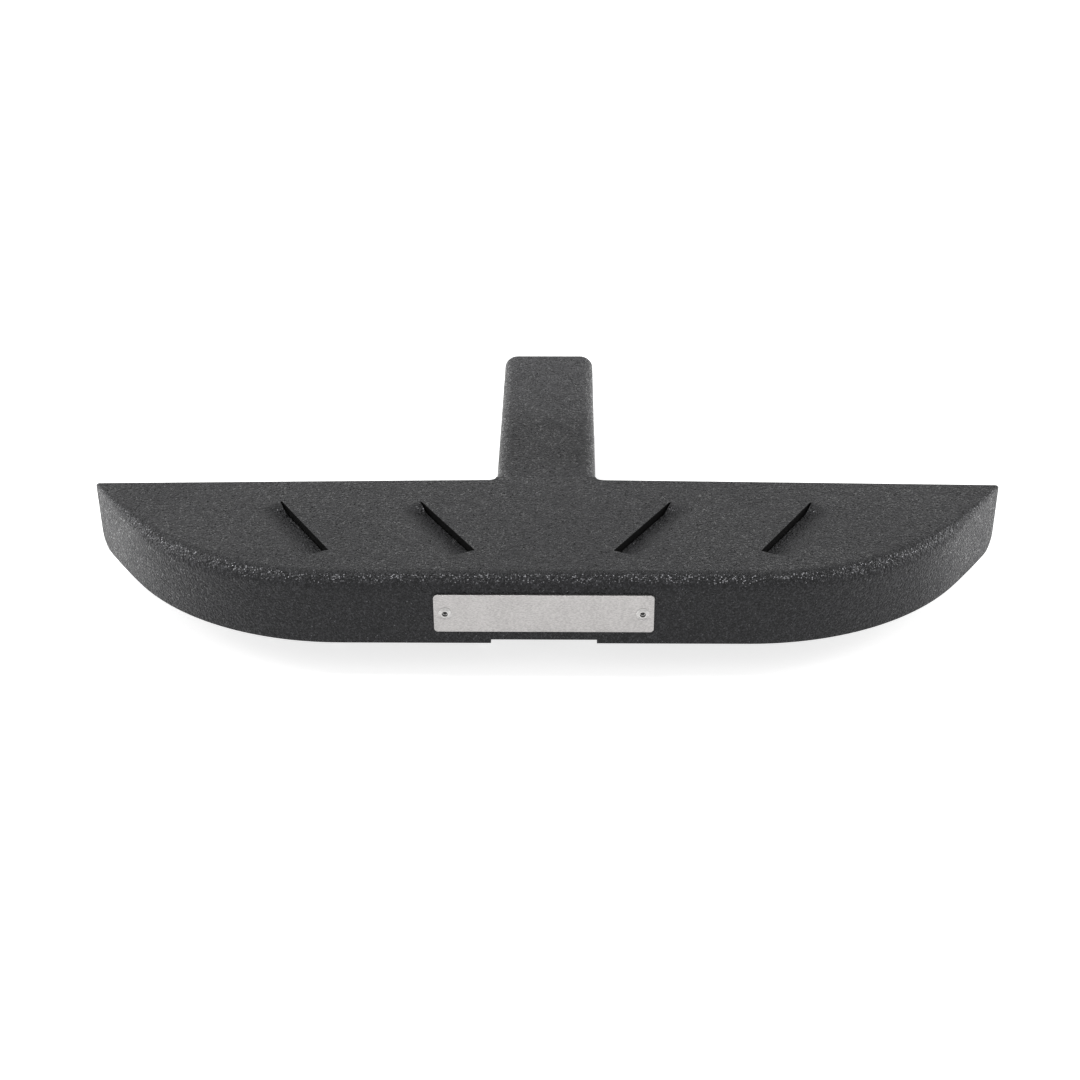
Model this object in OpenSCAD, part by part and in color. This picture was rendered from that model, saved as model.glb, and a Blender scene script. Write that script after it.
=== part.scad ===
// Hitch receiver step: a formed steel tread with a curved skirt, carried on a square receiver shank.
// The origin is the centre of the hitch pin hole. +Y points into the receiver and +Z is up.

/* [Tread] */
// Overall width of the tread
tread_w = 457.2; // [400:0.1:520]
// Depth of the tread from its rear edge to its front face
tread_d = 96.5; // [90:0.5:130]
// Height of the skirt
skirt_h = 36; // [32:0.5:44]
// Thickness of the formed sheet
sheet_t = 4.8; // [3:0.1:6]
// Outer radius of the fold between deck and skirt
fold_r = 7.5; // [6.5:0.5:10]
// Radius of the front corners, seen from above
corner_r = 132; // [110:1:150]
// Radius of the flatter ends, seen from above
end_r = 525; // [300:5:900]
// How far the rear edge leans forward at its outer ends
rear_sweep = 4.5; // [0:0.5:12]
// Radius of the skirt's lower rear corners
skirt_end_r = 9; // [4:0.5:14]

/* [Gills] */
// Number of gills on each side
gills_each_side = 2; // [1:1:2]
// Length of a gill's slot
gill_len = 55.5; // [40:0.5:60]
// Width of the cut beside a gill's lip
gill_slot = 0.8; // [0.4:0.1:2]
// Depth that a gill's lip is pressed down
gill_depth = 3.2; // [1:0.1:4.4]
// Width of the pressed ramp beside a slot
gill_ramp = 15; // [8:0.5:18]
// Length of the ramp at a gill's rear end
gill_rear = 14; // [6:0.5:18]
// Length of the steeper ramp at its front end
gill_front = 5; // [4:0.5:10]
// Angle of a gill from the direction of travel
gill_angle = 31; // [20:1:38]
// Distance of the first gill's middle from the centre line
gill_first = 47.7; // [45:0.1:60]
// Distance of the last gill's middle from the tread's end
gill_end_gap = 111.2; // [105:0.1:125]
// Distance from the rear edge to the gills' middle
gill_back = 47.5; // [44:0.1:54]

/* [Shank] */
// Outside width and height of the square shank
shank_w = 50.8; // [46:0.1:56]
// Wall of the shank
shank_wall = 4.8; // [4:0.1:6.4]
// Outer corner radius of the shank
shank_r = 7.5; // [6.5:0.5:12]
// Length of shank that stands out behind the tread
shank_out = 152.4; // [120:0.1:230]
// Diameter of the hitch pin hole
pin_d = 16.3; // [13:0.1:17]
// Distance from the shank's rear end to the pin hole
pin_inset = 63.5; // [40:0.5:75]
// Angle of the cut under the shank's front end
bevel_angle = 30; // [24:1:32]
// Thickness of the plate that closes the cut
cap_t = 3.2; // [2:0.1:5]
// Ledge left beside the closing plate
cap_ledge = 3.2; // [2:0.1:6]
// Width of the notch in the skirt's lower edge
notch_w = 50; // [40:0.5:60]
// Height of the notch
notch_h = 2; // [1:0.1:4]

/* [Gussets] */
// Reach of a gusset from the shank
gusset_len = 128; // [80:1:150]
// Height of a gusset at the shank
gusset_h = 28; // [20:0.5:30]
// Height of a gusset at its outer end
gusset_tip = 9; // [6:0.5:14]
// Thickness of a gusset
gusset_t = 4.8; // [3:0.1:6]
// Distance from the rear edge to the gussets
gusset_in = 12; // [9:0.5:16]

/* [Welds] */
// Leg of the welds between shank, deck and skirt
weld_leg = 5; // [3:0.5:6]
// Leg of the welds on gussets and closing plate
small_leg = 3.2; // [2:0.1:4]
// Width of the flush seam across the shank
seam_w = 4; // [2:0.5:6]

/* [Badge] */
// Width of the badge plate
badge_w = 103; // [90:0.5:130]
// Height of the badge plate
badge_h = 20; // [16:0.5:22]
// Thickness of the badge plate
badge_t = 1.2; // [0.8:0.1:2]
// Corner radius of the badge plate
badge_r = 1.8; // [1:0.1:4]
// Distance from the deck's top to the middle of the badge
badge_drop = 18.8; // [18:0.1:20]
// Distance between the two rivets
rivet_span = 92.4; // [80:0.1:96]
// Diameter of the rivet shank
rivet_d = 3.2; // [2.4:0.1:4]
// Diameter of the rivet flange
rivet_head_d = 6.4; // [5.4:0.1:8]
// Height of the rivet flange
rivet_head_h = 0.9; // [0.6:0.1:1.4]
// Length of the bulb on the blind side
bulb_h = 4; // [3:0.1:6]
// Diameter of the mandrel stem
mandrel_d = 1.8; // [1.2:0.1:2]

/* [Hidden] */
$fn = 96;

coat = [0.3, 0.3, 0.31];
bare_coat = [0.34, 0.34, 0.345];
badge_metal = [0.79, 0.78, 0.77];
rivet_metal = [0.7, 0.7, 0.7];
mandrel_metal = [0.35, 0.35, 0.35];

// Heights and depths of the main faces
deck_z = shank_w / 2;
deck_under = deck_z - sheet_t;
skirt_low = deck_z - skirt_h;
rear_y = pin_inset - shank_out;
front_y = rear_y - tread_d;
skirt_back = front_y + sheet_t;
rear_end_y = rear_y - rear_sweep;

// Plan of the tread: a straight front, a corner arc that turns by the larger angle of a 3-4-5 triangle,
// and a flatter arc, about its own centre, that runs to the rear corner
turn = [3, 4] / 5;
turn_angle = atan2(turn.y, turn.x);
end_shift = (end_r - corner_r) * [-turn.y, turn.x];
end_low = corner_r + end_shift.y - (tread_d - rear_sweep);
end_half = sqrt(pow(end_r, 2) - pow(end_low, 2));
end_turn = acos(end_low / end_r);
front_half = tread_w / 2 - end_shift.x - end_half;
corner_c = [front_half, front_y + corner_r];
fold_in = fold_r - sheet_t;

// Strip of deck that is swept with the fold. The rest of the deck starts inside it
deck_strip = 4;
deck_inset = fold_r + deck_strip / 4;
deck_chords = 6;

// Closing cut under the shank's front end
bevel_top = skirt_low + notch_h + cap_t / cos(bevel_angle);
bevel_run = (bevel_top + shank_w / 2) / tan(bevel_angle);
cap_w = shank_w - 2 * cap_ledge;
shank_low = -shank_w / 2;

// Distance from one gill to the next
gill_pitch = (tread_w / 2 - gill_end_gap - gill_first) / max(1, gills_each_side - 1);

// Gusset's rear face, and the corner that is clipped for the long weld
gusset_y = rear_y - gusset_in;
clip = weld_leg + 1;

// Overlap of shapes that are joined, and reach of shapes that cut
lap = 0.6;
far = 400;
curve_steps = 10;

// Rivets: clearances, straight edge of the flange, bulb, and the broken mandrel below the flange
rivet_z = deck_z - badge_drop;
rivet_hole = rivet_d + 0.2;
bulb_d = 1.45 * rivet_d;
flange_edge = 0.25;
grip = badge_t + sheet_t;
mandrel_gap = 0.1;
mandrel_sunk = 0.7;
mandrel_head = 1.8;

// Draws its child and the child's mirror image on the other side
module both_sides() {
    children();
    mirror([1, 0, 0]) children();
}

// Stands a profile of (depth, height) upright and runs it along +X for a length
module run_along_x(length) {
    rotate([90, 0, 90]) linear_extrude(length) children();
}

// Outside of skirt, fold and a strip of deck: x runs inward from the front face, y up to the deck's top
module outer_section() {
    translate([0, -skirt_h - lap]) square([fold_r + deck_strip, skirt_h + lap - fold_r]);
    translate([fold_r, -fold_r]) square([deck_strip, fold_r]);
    intersection() {
        translate([fold_r, -fold_r]) circle(fold_r);
        translate([0, -fold_r]) square(fold_r);
    }
}

// Room inside the same section: y runs up to the deck's underside
module inner_section() {
    translate([sheet_t, -skirt_h - lap]) square([fold_r + deck_strip, skirt_h + lap - fold_in]);
    translate([fold_r, -fold_in]) square([deck_strip + lap, fold_in]);
    intersection() {
        translate([fold_r, -fold_in]) circle(fold_in);
        translate([sheet_t, -fold_in]) square(fold_in);
    }
}

// Skirt and fold along half of the front
module front_run() {
    translate([-lap, front_y, 0]) difference() {
        translate([0, 0, deck_z]) run_along_x(front_half + lap) outer_section();
        translate([-lap, 0, deck_under]) run_along_x(front_half + 3 * lap) inner_section();
    }
}

// Skirt and fold swept about a centre, by an angle
module swept_run(radius, angle) {
    difference() {
        translate([0, 0, deck_z]) rotate_extrude(angle = angle, $fn = 360)
            translate([radius, 0]) mirror([1, 0]) outer_section();
        translate([0, 0, deck_under]) rotate_extrude($fn = 360)
            translate([radius, 0]) mirror([1, 0]) inner_section();
    }
}

// Skirt and fold round the corner, up to the line on which both centres lie
module corner_run() {
    translate([corner_c.x, corner_c.y, 0]) difference() {
        rotate([0, 0, -90]) swept_run(corner_r, 60);
        rotate([0, 0, turn_angle]) translate([0, -far, -far]) cube(2 * far);
    }
}

// Skirt and fold along the flatter end, well past the rear edge
module end_run() {
    difference() {
        translate([corner_c.x, corner_c.y, 0]) translate([end_shift.x, end_shift.y, 0])
            rotate([0, 0, turn_angle - 90]) swept_run(end_r, 20);
        skirt_end_cut();
    }
}

// Material outside the round at the skirt's lower rear corner, square to the skirt there
module skirt_end_cut() {
    translate([corner_c.x + end_shift.x, corner_c.y + end_shift.y, skirt_low])
        rotate([0, 0, end_turn]) translate([0, sheet_t + lap - end_r, 0]) rotate([90, 0, 0])
            linear_extrude(sheet_t + 2 * lap) difference() {
                translate([-skirt_end_r, -2 * lap]) square([skirt_end_r + corner_r, skirt_end_r + 2 * lap]);
                translate([-skirt_end_r, skirt_end_r]) circle(skirt_end_r);
            }
}

// Points of a half outline and of its mirror image, as one closed outline
function mirrored_outline(points) =
    concat(points, [for (i = [len(points) - 1 : -1 : 0]) [-points[i].x, points[i].y]]);

// Flat part of the deck, seen from above. Its edge runs in chords inside the swept strip, and one
// chord crosses the joint between corner and end
module deck_plan() {
    inner_r = corner_r - deck_inset;
    arc = [for (i = [0 : deck_chords]) let (a = turn_angle * i / (deck_chords - 0.3))
        corner_c + inner_r * [sin(a), -cos(a)]];
    end = [for (past = [2 : 4 : 18]) let (a = turn_angle + past)
        corner_c + end_shift + (end_r - deck_inset) * [sin(a), -cos(a)]];
    polygon(mirrored_outline(concat(arc, end)));
}

// Everything above the skirt's lower edge and in front of the rear edge, which leans forward to both ends
module rear_trim() {
    edge = [[shank_w / 2, rear_y], [tread_w / 2, rear_end_y], [far, rear_end_y], [far, front_y - far]];
    translate([0, 0, skirt_low]) linear_extrude(far) polygon(mirrored_outline(edge));
}

// Height of the pressed surface at a run from the foot of its ramp, with soft ends like a pressing
function pressed(run, length) = -gill_depth * (1 + cos(180 * run / length)) / 2;

// Profile across a gill: lip beside the slot, then the ramp up to the deck
function ramp_line(lift) = [
    for (i = [0 : curve_steps])
        [gill_slot + gill_ramp * i / curve_steps, lift + pressed(i, curve_steps)]
];

// Profile along a gill: a steep ramp down at the front, the level lip and a longer ramp up at the rear
function end_line(lift) = concat(
    [for (i = [0 : curve_steps])
        [-gill_len / 2 + gill_front * i / curve_steps, lift + pressed(curve_steps - i, curve_steps)]],
    [for (i = [0 : curve_steps])
        [gill_len / 2 - gill_rear * (1 - i / curve_steps), lift + pressed(i, curve_steps)]]
);

// A pressing bounded by a profile across and a profile along the gill
module pressing(across, along) {
    intersection() {
        rotate([90, 0, 0]) linear_extrude(2 * gill_len, center = true) polygon(across);
        rotate([90, 0, 90]) linear_extrude(gill_len) polygon(along);
    }
}

// Hollow pressed into the deck's top beside the slot
module gill_hollow() {
    half = gill_len / 2;
    pressing(concat([[0, lap], [0, -gill_depth]], ramp_line(0), [[gill_slot + gill_ramp, lap]]),
             concat([[-half, lap]], end_line(0), [[half, lap]]));
}

// The same pressing where it stands out under the deck
module gill_bulge() {
    half = gill_len / 2;
    top = lap - sheet_t;
    pressing(concat([[gill_slot, top]], ramp_line(-sheet_t), [[gill_slot + gill_ramp, top]]),
             concat([[-half, top]], end_line(-sheet_t), [[half, top]]));
}

// Slot through the sheet with round ends
module gill_cut() {
    half = gill_len / 2;
    translate([0, 0, -sheet_t - gill_depth]) linear_extrude(2 * sheet_t + gill_depth) {
        translate([0, gill_slot / 2 - half]) square([gill_slot, gill_len - gill_slot]);
        for (end = [-1, 1])
            translate([gill_slot / 2, end * (half - gill_slot / 2)]) circle(gill_slot / 2);
    }
}

// Places its child at every gill
module at_gills() {
    both_sides() for (i = [0 : gills_each_side - 1])
        translate([gill_first + i * gill_pitch, rear_y - gill_back, deck_z])
            rotate([0, 0, -gill_angle]) translate([-gill_slot / 2, 0, 0]) children();
}

// Places its child on the axis of each rivet, with +Z along the axis towards the rear
module at_rivet(side) {
    translate([side * rivet_span / 2, front_y, rivet_z]) rotate([-90, 0, 0]) children();
}

// Square bar that starts at the origin, runs along +X and is centred on that axis
module square_bar(length, side) {
    translate([0, -side / 2, -side / 2]) cube([length, side, side]);
}

// Groove for the flush seam, in the deck's rear edge and in the shank
module seam_groove() {
    translate([-far, rear_y, deck_z]) rotate([45, 0, 0])
        square_bar(2 * far, seam_w / sqrt(2));
}

// One-piece pressed sheet: deck, fold and skirt
module step_shell() {
    color(coat) difference() {
        union() {
            intersection() {
                union() {
                    translate([0, 0, deck_under]) linear_extrude(sheet_t) deck_plan();
                    both_sides() {
                        front_run();
                        corner_run();
                        end_run();
                    }
                }
                rear_trim();
            }
            at_gills() gill_bulge();
        }
        at_gills() gill_hollow();
        at_gills() gill_cut();
        intersection() {
            seam_groove();
            cube([shank_w, far * 2, far], center = true);
        }
        translate([-notch_w / 2, front_y - lap, skirt_low - lap])
            cube([notch_w, sheet_t + 2 * lap, notch_h + lap]);
        for (side = [-1, 1])
            at_rivet(side) translate([0, 0, -lap]) cylinder(d = rivet_hole, h = sheet_t + 2 * lap);
    }
}

// Rectangle with round corners, centred
module rounded_rect(w, h, r) {
    square([w - 2 * r, h], center = true);
    square([w, h - 2 * r], center = true);
    for (x = [-1, 1], y = [-1, 1])
        translate([x * (w / 2 - r), y * (h / 2 - r)]) circle(r);
}
module round_square(w, r) { rounded_rect(w, w, r); }

// Outside of the shank as a full bar from the skirt's back to its rear end
module shank_bar() {
    translate([0, pin_inset, 0]) rotate([90, 0, 0])
        linear_extrude(pin_inset - skirt_back) round_square(shank_w, shank_r);
}

// What is cut from the shank's front: the bed for the deck, the fold's clearance and the slanting end
module shank_front_cuts() {
    bevel = [[-lap, bevel_top + lap * tan(bevel_angle)],
             [2 * bevel_run, bevel_top - 2 * bevel_run * tan(bevel_angle)],
             [-lap, bevel_top - 2 * bevel_run * tan(bevel_angle)]];
    snipe = fold_in + lap;
    translate([-far, skirt_back, 0]) run_along_x(2 * far) {
        polygon(bevel);
        translate([-lap, deck_under]) square([rear_y - skirt_back + lap, shank_w]);
        polygon([[-lap, deck_under + lap], [-lap, deck_under - snipe - lap],
                 [snipe + lap, deck_under + lap]]);
    }
}

// Square receiver tube with the hitch pin hole, cut away under the deck
module hitch_shank() {
    color(bare_coat) difference() {
        shank_bar();
        translate([0, pin_inset + lap, 0]) rotate([90, 0, 0])
            linear_extrude(far) round_square(shank_w - 2 * shank_wall, shank_r - shank_wall);
        shank_front_cuts();
        seam_groove();
        rotate([0, 90, 0]) cylinder(d = pin_d, h = 2 * shank_w, center = true);
    }
}

// Plate that closes the slanting cut, trimmed at the skirt and level with the shank's lower face
module shank_cap() {
    drop = cap_t / cos(bevel_angle);
    back = cap_t / sin(bevel_angle);
    color(coat) intersection() {
        translate([-cap_w / 2, skirt_back, 0]) run_along_x(cap_w)
            polygon([[0, bevel_top], [bevel_run, shank_low], [bevel_run - back, shank_low],
                     [0, bevel_top - drop]]);
        shank_bar();
    }
}

// Tapered rib under the deck, with a clipped corner where the long weld passes and a round tip
module gusset() {
    tip_r = gusset_tip / 2;
    translate([shank_w / 2, gusset_y, deck_under]) rotate([90, 0, 0]) linear_extrude(gusset_t)
        difference() {
            polygon([[clip, 0], [gusset_len, 0], [gusset_len, -gusset_tip], [gusset_len - tip_r, -gusset_tip],
                     [0, -gusset_h], [0, -clip]]);
            translate([gusset_len - tip_r, tip_r - gusset_tip]) difference() {
                translate([0, -tip_r - lap]) square([tip_r + lap, tip_r + lap]);
                circle(tip_r);
            }
        }
}
module gusset_left() { color(coat) mirror([1, 0, 0]) gusset(); }
module gusset_right() { color(coat) gusset(); }

// Flush seam where the deck meets the shank, with a small hollow round on both sides
module weld_rear_seam() {
    half = shank_w / 2 + small_leg;
    color(coat) difference() {
        translate([0, 0, deck_under]) linear_extrude(sheet_t) difference() {
            translate([-half, rear_y - seam_w / 2]) square([2 * half, seam_w / 2 + small_leg]);
            for (side = [-1, 1])
                translate([side * half, rear_y + small_leg]) circle(small_leg);
        }
        step_shell();
        hitch_shank();
    }
}

// Right-angled section of a weld bead: its corner at the origin, its legs along +X and -Y
module bead(leg) {
    polygon([[0, 0], [leg, 0], [0, -leg]]);
}

// Long weld between the shank's side and the deck, from the front weld to the rear edge
module weld_deck() {
    translate([0, rear_y, 0]) rotate([90, 0, 0])
        linear_extrude(rear_y - skirt_back - weld_leg) difference() {
            polygon([[shank_w / 2 - shank_r, deck_under], [shank_w / 2 + weld_leg, deck_under],
                     [shank_w / 2, deck_under - weld_leg]]);
            round_square(shank_w, shank_r);
        }
}
module weld_deck_left() { color(coat) mirror([1, 0, 0]) weld_deck(); }
module weld_deck_right() { color(coat) weld_deck(); }

// Upright weld between the shank's side and the back of the skirt
module weld_front() {
    top = deck_under - weld_leg;
    translate([shank_w / 2, skirt_back, bevel_top]) linear_extrude(top - bevel_top)
        mirror([0, 1]) bead(weld_leg);
}
module weld_front_left() { color(coat) mirror([1, 0, 0]) weld_front(); }
module weld_front_right() { color(coat) weld_front(); }

// Welds on the front of a gusset: one under the deck and one down the shank's side
module weld_gusset() {
    front = gusset_y - gusset_t;
    translate([shank_w / 2 + clip, front, deck_under]) rotate([90, 0, 90])
        linear_extrude(gusset_len - clip) mirror([1, 0]) bead(small_leg);
    translate([shank_w / 2, front, deck_under - gusset_h]) linear_extrude(gusset_h - clip)
        bead(small_leg);
}
module weld_gusset_left() { color(coat) mirror([1, 0, 0]) weld_gusset(); }
module weld_gusset_right() { color(coat) weld_gusset(); }

// Welds along both sides of the closing plate, on the ledges of the shank
module weld_cap() {
    leg = min(small_leg, cap_ledge, cap_t);
    start = leg * tan(bevel_angle) + lap;
    color(coat) intersection() {
        translate([0, skirt_back, bevel_top]) rotate([-bevel_angle, 0, 0]) both_sides()
            translate([cap_w / 2, start + shank_w, 0]) rotate([90, 0, 0]) linear_extrude(shank_w) bead(leg);
        shank_bar();
    }
}

// Badge plate without lettering, with two rivet holes
module badge_plate() {
    color(badge_metal) difference() {
        translate([0, front_y, rivet_z]) rotate([90, 0, 0]) linear_extrude(badge_t)
            rounded_rect(badge_w, badge_h, badge_r);
        for (side = [-1, 1])
            at_rivet(side) translate([0, 0, -badge_t - lap]) cylinder(d = rivet_hole, h = badge_t + 2 * lap);
    }
}

// Blind rivet: domed flange on the plate, shank through plate and skirt, bulb behind the skirt
module rivet(side) {
    seat = -badge_t;
    dome_h = rivet_head_h - flange_edge;
    dome_r = (pow(rivet_head_d / 2, 2) + dome_h * dome_h) / (2 * dome_h);
    bulb_r = bulb_d / 2;
    color(rivet_metal) at_rivet(side) rotate_extrude() difference() {
        union() {
            translate([0, seat - flange_edge]) square([rivet_head_d / 2, flange_edge]);
            intersection() {
                translate([0, seat - rivet_head_h + dome_r]) circle(dome_r, $fn = 360);
                translate([0, seat - rivet_head_h]) square([rivet_head_d / 2, dome_h]);
            }
            translate([0, seat - lap / 4]) square([rivet_d / 2, grip + bulb_h]);
            translate([0, sheet_t]) square([bulb_r, bulb_h - bulb_r / 2]);
            intersection() {
                translate([bulb_r / 2, sheet_t + bulb_h - bulb_r / 2]) circle(bulb_r / 2);
                translate([0, sheet_t]) square([bulb_r, bulb_h]);
            }
        }
        translate([-lap, seat - 2 * rivet_head_h]) square([lap + mandrel_d / 2, far]);
    }
}
module rivet_left() { rivet(-1); }
module rivet_right() { rivet(1); }

// Broken mandrel that stays in a rivet, its head against the bulb
module mandrel(side) {
    tail = sheet_t + bulb_h;
    color(mandrel_metal) at_rivet(side) {
        translate([0, 0, -badge_t - rivet_head_h + mandrel_sunk])
            cylinder(d = mandrel_d - mandrel_gap, h = tail + badge_t + rivet_head_h - mandrel_sunk + lap);
        translate([0, 0, tail]) cylinder(d = rivet_d, h = mandrel_head - lap);
        translate([0, 0, tail + mandrel_head - lap]) cylinder(d1 = rivet_d, d2 = rivet_d - 2 * lap, h = lap);
    }
}
module mandrel_left() { mandrel(-1); }
module mandrel_right() { mandrel(1); }

step_shell();
hitch_shank();
shank_cap();
gusset_left();
gusset_right();
weld_rear_seam();
weld_deck_left();
weld_deck_right();
weld_front_left();
weld_front_right();
weld_gusset_left();
weld_gusset_right();
weld_cap();
badge_plate();
rivet_left();
rivet_right();
mandrel_left();
mandrel_right();
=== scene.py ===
import math

import bmesh
import bpy
from mathutils import Matrix, Vector
from mathutils.geometry import delaunay_2d_cdt


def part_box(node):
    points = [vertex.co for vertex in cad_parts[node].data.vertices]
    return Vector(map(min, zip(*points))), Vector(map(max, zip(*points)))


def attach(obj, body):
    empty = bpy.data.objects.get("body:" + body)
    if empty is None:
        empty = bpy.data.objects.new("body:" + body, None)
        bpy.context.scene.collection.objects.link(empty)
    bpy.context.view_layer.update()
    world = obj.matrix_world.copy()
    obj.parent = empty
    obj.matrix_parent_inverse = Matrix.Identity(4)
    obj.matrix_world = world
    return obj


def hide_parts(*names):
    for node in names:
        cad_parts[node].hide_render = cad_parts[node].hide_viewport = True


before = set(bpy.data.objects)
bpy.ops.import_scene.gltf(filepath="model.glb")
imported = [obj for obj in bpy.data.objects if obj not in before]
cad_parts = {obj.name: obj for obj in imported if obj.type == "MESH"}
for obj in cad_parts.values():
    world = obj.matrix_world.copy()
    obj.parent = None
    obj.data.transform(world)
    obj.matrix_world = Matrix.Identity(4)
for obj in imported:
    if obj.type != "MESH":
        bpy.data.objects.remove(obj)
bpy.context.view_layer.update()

MM = 0.001

# Sizes of the part, in millimetres
TREAD_W, TREAD_D, SKIRT_H, SHEET = 457.2, 96.5, 36.0, 4.8
FOLD_R, CORNER_R, END_R = 7.5, 132.0, 525.0
REAR_SWEEP, SKIRT_END_R = 4.5, 9.0
TIP_R, TIP_RUN = 1.6, 80.0
SHANK_W, SHANK_OUT, PIN_INSET = 50.8, 152.4, 63.5
GILL_X, GILL_BACK, GILL_ANGLE = (47.7, 117.4), 47.5, 31.0
GILL_LEN, GILL_SLOT, GILL_DEPTH, GILL_RAMP = 55.5, 0.8, 3.2, 15.0
GILL_REAR, GILL_FRONT = 8.0, 4.0
NOTCH_W, NOTCH_H, SEAM_W = 50.0, 2.0, 4.0
WELD_LEG, SMALL_LEG = 5.0, 3.2
BADGE_T, RIVET_D, RIVET_HEAD_D, BULB_D = 1.2, 3.2, 6.4, 4.64
RIM_ROUND, SLOT_ROUND = 1.0, 0.25

DECK_Z = SHANK_W / 2
DECK_UNDER = DECK_Z - SHEET
SKIRT_LOW = DECK_Z - SKIRT_H
FOLD_Z = DECK_Z - FOLD_R
REAR_Y = PIN_INSET - SHANK_OUT
FRONT_Y = REAR_Y - TREAD_D
TURN = math.atan2(4, 3)
REAR_SLOPE = -REAR_SWEEP / (TREAD_W / 2 - SHANK_W / 2)

# Centres of the right half's corner and end arcs in plan, which meet where both have turned by TURN
END_SHIFT = Vector((-0.8, 0.6)) * (END_R - CORNER_R)
END_LOW = CORNER_R + END_SHIFT.y - (TREAD_D - REAR_SWEEP)
FRONT_HALF = TREAD_W / 2 - END_SHIFT.x - math.sqrt(END_R ** 2 - END_LOW ** 2)
CORNER_C = Vector((FRONT_HALF, FRONT_Y + CORNER_R))
END_C = CORNER_C + END_SHIFT

# Steps of the tread's mesh
FRONT_COLUMNS = (0, 8.3, 16.7, 25, 34, 43, 52, 62, 73, 84)
CORNER_COLUMNS, END_COLUMNS, SKIRT_END_STEPS = 30, 12, 8
FOLD_STEPS, REAR_STEPS, SEAM_STEPS = 12, 16, 8
SLOT_STEPS, SLOT_END_STEPS, FINE_STEP = 44, 4, 0.625
SKIRT_ROWS = (0, NOTCH_H / (FOLD_Z - SKIRT_LOW), 0.25, 0.5, 0.75, 1)
# Margins beside the fold, a gill's ramp, a slot and the walls of a cut
FOLD_MARGIN, RAMP_MARGIN, SLOT_MARGIN, CUT_MARGIN = 0.8, 0.8, 0.5, 0.12
# Smallest area and edge that count, a hair's breadth, and the angle of a sharp edge in radians
LEAST_AREA, LEAST_EDGE, HAIR, SHARP_ANGLE = 0.002, 0.001, 0.01, 0.6

# Steps of the beads and how deep they reach into the parts
BEAD_STEP, BEAD_POINTS, BEAD_END = 0.3, 9, 3.0
BEAD_ROOT, BEAD_TOE = 0.5, 0.3
# Leg of a bead, distance between its ripples and their height
LONG_BEAD, SMALL_BEAD = (WELD_LEG, 1.7, 0.22), (SMALL_LEG, 1.4, 0.16)
LATHE_STEPS, BULB_STEPS, BULB_ROUND = 40, 5, 1.1


def ease(t):
    """Smooth step from 0 to 1."""
    t = min(1.0, max(0.0, t))
    return (1 - math.cos(math.pi * t)) / 2


def ring(items):
    """Each item with the next one, and the last with the first."""
    return zip(items, items[1:] + items[:1])


def rear_line(x):
    """Y of the rear edge, which leans forward to both ends."""
    return REAR_Y + REAR_SLOPE * max(0.0, abs(x) - SHANK_W / 2)


def end_angle(inset):
    """Angle at which the end's arc, moved inward, meets the rear edge, found by halving."""
    low, high = TURN, TURN + 0.3
    for _ in range(50):
        mid = (low + high) / 2
        p = END_C + (END_R - inset) * Vector((math.sin(mid), -math.cos(mid)))
        if p.y < rear_line(p.x):
            low = mid
        else:
            high = mid
    return low


def plan_point(run, t, inset):
    """Point of the right half outline: part t of its front, corner or end, moved inward."""
    if run == "front":
        return Vector((FRONT_HALF * t, FRONT_Y + inset))
    if run == "corner":
        centre, radius, angle = CORNER_C, CORNER_R - inset, TURN * t
    else:
        centre, radius = END_C, END_R - inset
        angle = TURN + (end_angle(inset) - TURN) * t
    return centre + radius * Vector((math.sin(angle), -math.cos(angle)))


def inside(point, polygon):
    """Whether a point in plan lies in a polygon."""
    hit = False
    for (ax, ay), (bx, by) in ring(polygon):
        if (ay > point[1]) != (by > point[1]):
            if point[0] < ax + (point[1] - ay) * (bx - ax) / (by - ay):
                hit = not hit
    return hit


def plan_area(corners):
    """Area of a polygon in plan."""
    return abs(sum(a.x * b.y - b.x * a.y for a, b in ring(corners))) / 2


def gill_frames():
    """Every gill's origin, its axis across (outward) and its axis along (rearward)."""
    a = math.radians(GILL_ANGLE)
    for side in (-1, 1):
        for x in GILL_X:
            across = Vector((side * math.cos(a), -math.sin(a)))
            along = Vector((side * math.sin(a), math.cos(a)))
            middle = Vector((side * x, REAR_Y - GILL_BACK))
            yield middle - across * GILL_SLOT / 2, across, along


GILLS = list(gill_frames())


def on_gills(point):
    """Where a point in plan lies on every gill: across and along."""
    for origin, across, along in GILLS:
        d = point - origin
        yield d.dot(across), d.dot(along)


def in_slot(p, q, grow=0.0):
    """Whether a place on a gill lies in its slot, or within a distance of it."""
    r = GILL_SLOT / 2
    over = max(0.0, abs(q) - (GILL_LEN / 2 - r))
    return math.hypot(p - r, over) < r + grow


def near_slot(point, grow=0.0):
    """Whether a point in plan lies in any slot, or within a distance of it."""
    return any(in_slot(p, q, grow) for p, q in on_gills(point))


def pressed(p, q):
    """Height of the pressed deck beside a slot, at p across and q along the gill."""
    if p < GILL_SLOT / 2:
        return 0.0
    across = 1 - ease((p - GILL_SLOT) / GILL_RAMP)
    along = ease((GILL_LEN / 2 - q) / GILL_REAR) * ease((GILL_LEN / 2 + q) / GILL_FRONT)
    return -GILL_DEPTH * across * along


def deck_height(point):
    """Height of the deck's top at a point in plan."""
    for p, q in on_gills(point):
        if -HAIR < p < GILL_SLOT + GILL_RAMP and abs(q) < GILL_LEN / 2:
            return DECK_Z + pressed(p, q)
    return DECK_Z


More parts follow.
